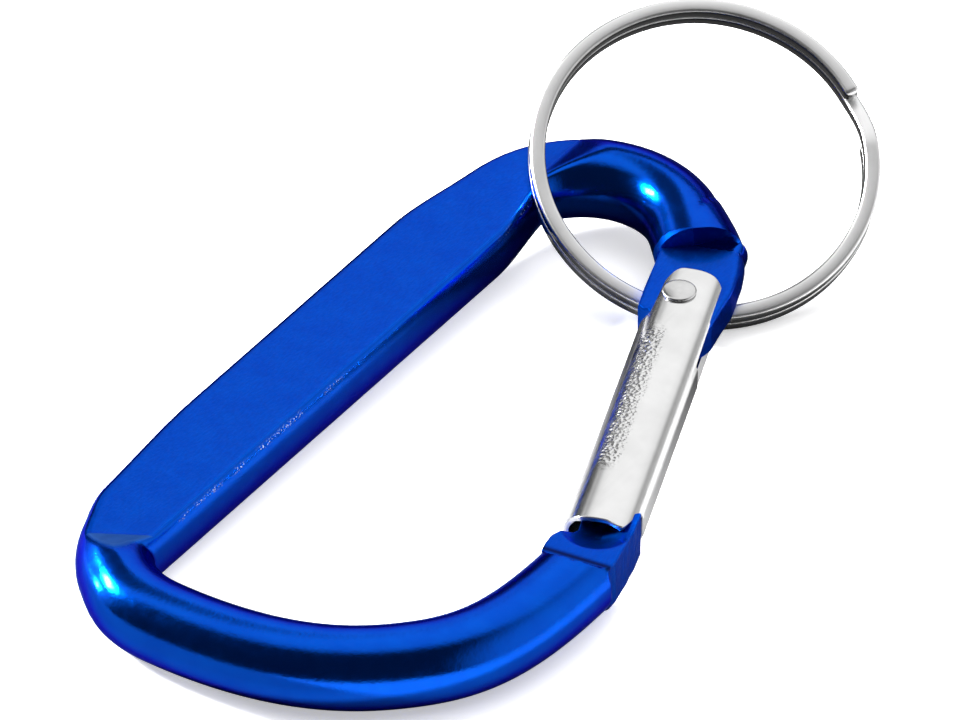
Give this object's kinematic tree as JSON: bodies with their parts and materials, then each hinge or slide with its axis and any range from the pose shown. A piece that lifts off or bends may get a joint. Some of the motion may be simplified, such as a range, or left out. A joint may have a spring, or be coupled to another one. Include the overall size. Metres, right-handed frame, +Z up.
{
  "type": "carabiner keyring",
  "caption": "Carabiner keyring: a pressed blue aluminium hook with a sprung steel gate on a rivet, and a split ring for keys.",
  "frame": {"origin": "middle of the underside of the bounding box, the object lying flat", "axes": "+Y along the long pressed side, towards the hinge end and the split ring; +X towards the gate side; +Z up from the surface the object lies on"},
  "size_m": [0.0422, 0.0894, 0.0166],
  "materials": {
    "blue_anodised": "glossy blue anodised, with fine wear",
    "gate_steel": "bright nickel plated sheet steel",
    "rivet_steel": "nickel plated, slightly domed",
    "spring_steel": "plain drawn wire",
    "ring_steel": "bright nickel plated, finely brushed top"
  },
  "bodies": {
    "frame": {"body": "blue_anodised"},
    "gate": {"gate": "gate_steel", "gate_rivet": "rivet_steel", "gate_spring": "spring_steel"},
    "ring": {"split_ring": "ring_steel"}
  },
  "joints": [
    {"name": "gate_hinge", "type": "hinge", "parent": "frame", "child": "gate", "pos_m": [0.00495, 0.01521, 0.00502], "axis": [0, 0, -1], "range_deg": [0, 28], "stiffness_Nm_per_rad": 0.08, "springref_deg": -34.38, "deforming": ["gate_spring"]},
    {"name": "ring_swing", "type": "hinge", "parent": "frame", "child": "ring", "pos_m": [0.00151, 0.01923, 0.00206], "axis": [0.9183, 0.3898, -0.0698], "range_deg": [0, 110]}
  ]
}
